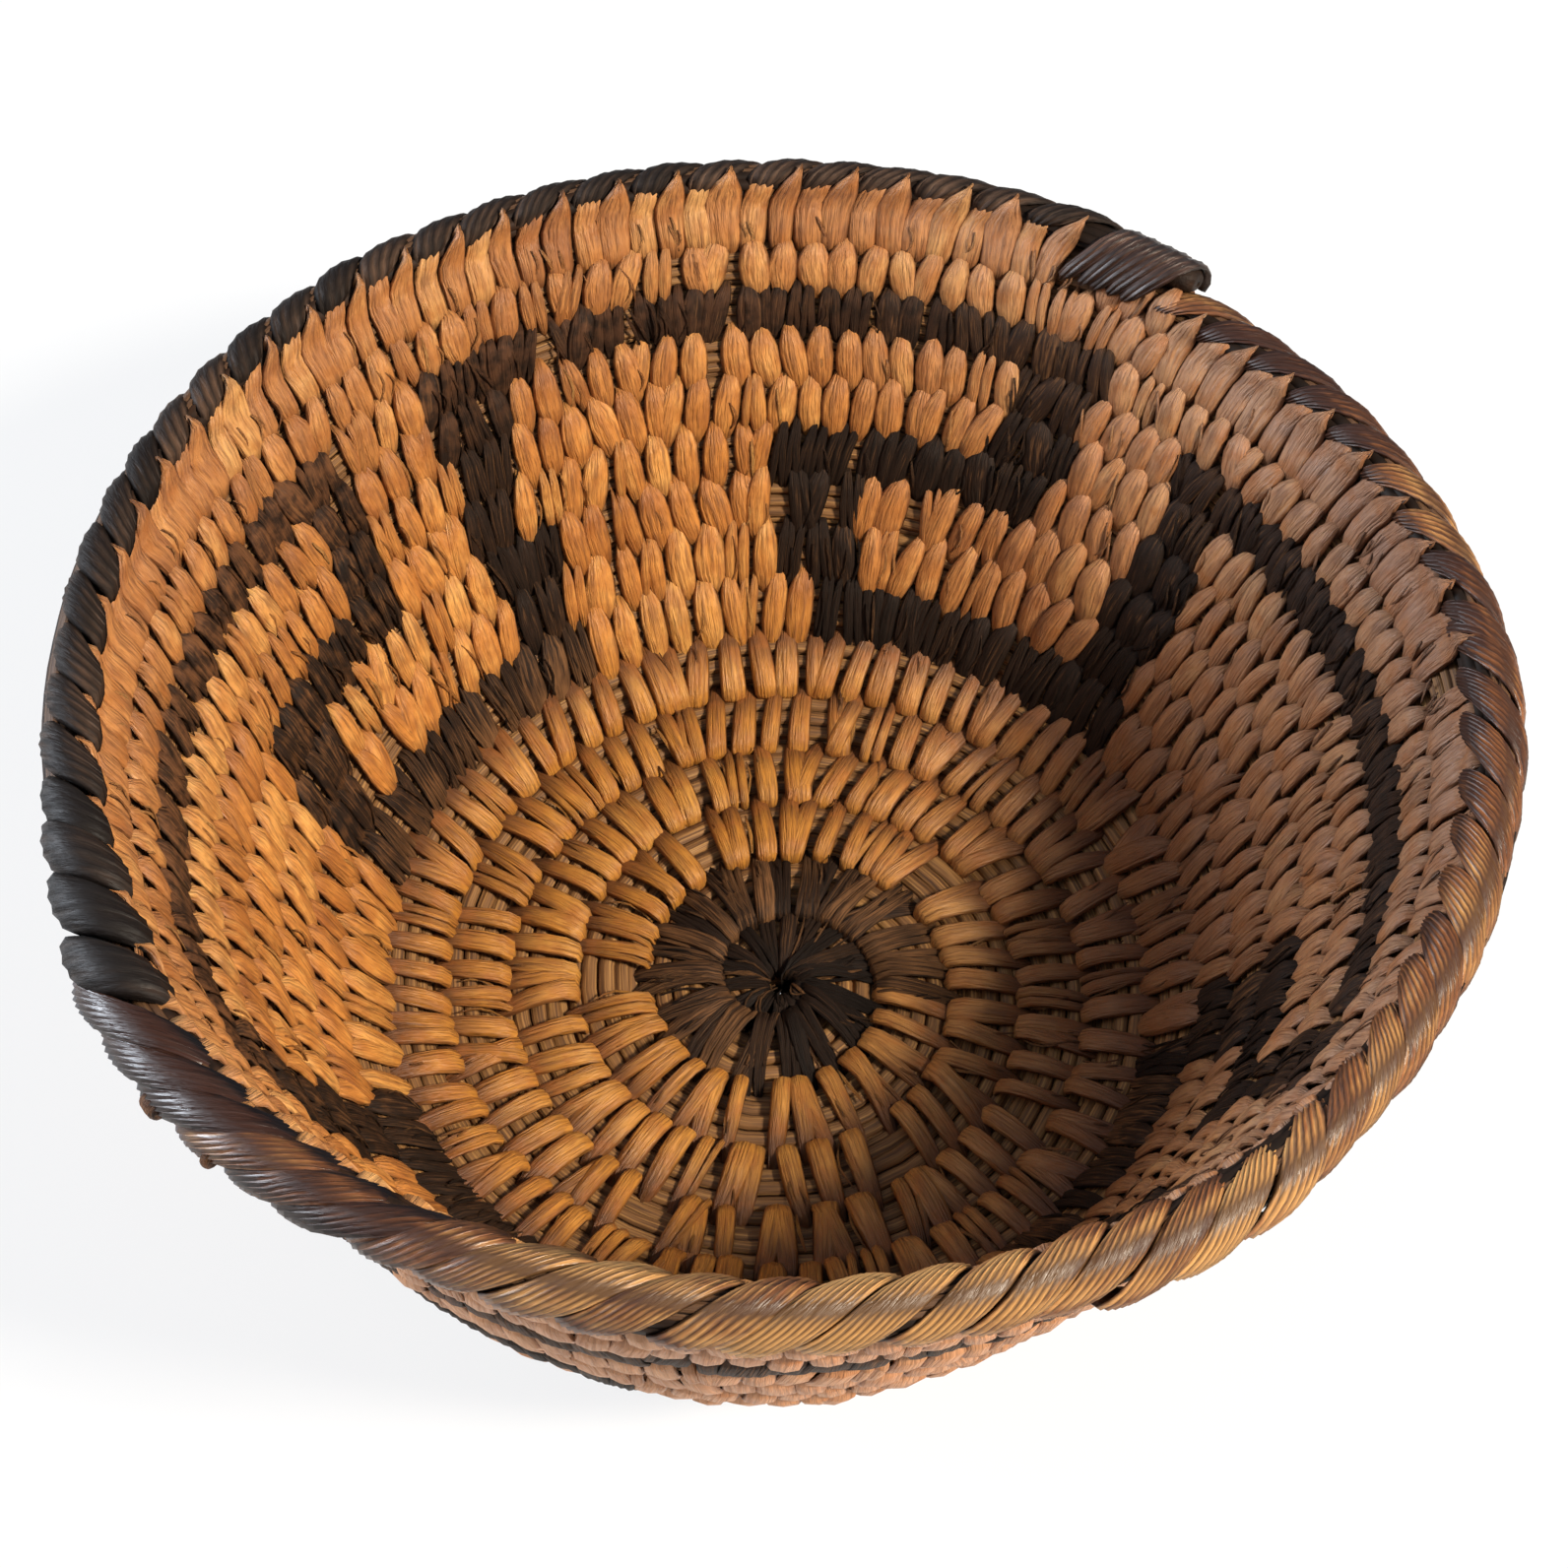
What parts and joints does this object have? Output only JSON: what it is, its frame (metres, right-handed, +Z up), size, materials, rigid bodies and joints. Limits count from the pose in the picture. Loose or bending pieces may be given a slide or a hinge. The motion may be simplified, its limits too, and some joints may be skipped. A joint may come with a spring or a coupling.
{
  "type": "coiled bowl basket",
  "caption": "Round coiled bowl basket with a flat floor, a flaring sewn wall banded with a dark whirling fret, and an overcast laced rim.",
  "frame": {"origin": "middle of the basket's outline in plan, on the surface that its flat floor stands on", "axes": "+Z up out of the mouth, -Y towards the viewer of the picture, +X to the viewer's right"},
  "size_m": [0.1356, 0.1378, 0.0597],
  "materials": {
    "foundation": "dry split rods",
    "willow_splint": "worn satin, aged tan",
    "black_splint": "satin, near black",
    "brown_lace": "glossy ribbed bark",
    "black_lace": "satin, near black"
  },
  "bodies": {
    "root": {"foundation_coil": "foundation", "dark_start": "black_splint", "willow_c13": "willow_splint", "willow_c12": "willow_splint", "willow_c11": "willow_splint", "willow_c10": "willow_splint", "willow_c9_run1": "willow_splint", "dark_c9_run1": "black_splint", "willow_c9_run2": "willow_splint", "dark_c9_run2": "black_splint", "willow_c9_run3": "willow_splint", "dark_c9_run3": "black_splint", "willow_c9_run4": "willow_splint", "dark_c9_run4": "black_splint", "willow_c8": "willow_splint", "willow_c7": "willow_splint", "willow_c6_run1": "willow_splint", "dark_c6_run1": "black_splint", "willow_c6_run2": "willow_splint", "dark_c6_run2": "black_splint", "willow_c6_run3": "willow_splint", "dark_c6_run3": "black_splint", "willow_c6_run4": "willow_splint", "dark_c6_run4": "black_splint", "willow_c6_run5": "willow_splint", "dark_c6_run5": "black_splint", "willow_c6_run6": "willow_splint", "dark_c6_run6": "black_splint", "willow_c6_run7": "willow_splint", "dark_c6_run7": "black_splint", "willow_c6_run8": "willow_splint", "dark_c6_run8": "black_splint", "willow_c5": "willow_splint", "willow_c4": "willow_splint", "willow_c3_run1": "willow_splint", "dark_c3_run1": "black_splint", "willow_c3_run2": "willow_splint", "dark_c3_run2": "black_splint", "willow_c3_run3": "willow_splint", "dark_c3_run3": "black_splint", "willow_c3_run4": "willow_splint", "dark_c3_run4": "black_splint", "willow_c2": "willow_splint", "willow_c1": "willow_splint", "rim_laces_brown": "brown_lace", "rim_laces_black": "black_lace"}
  },
  "joints": []
}
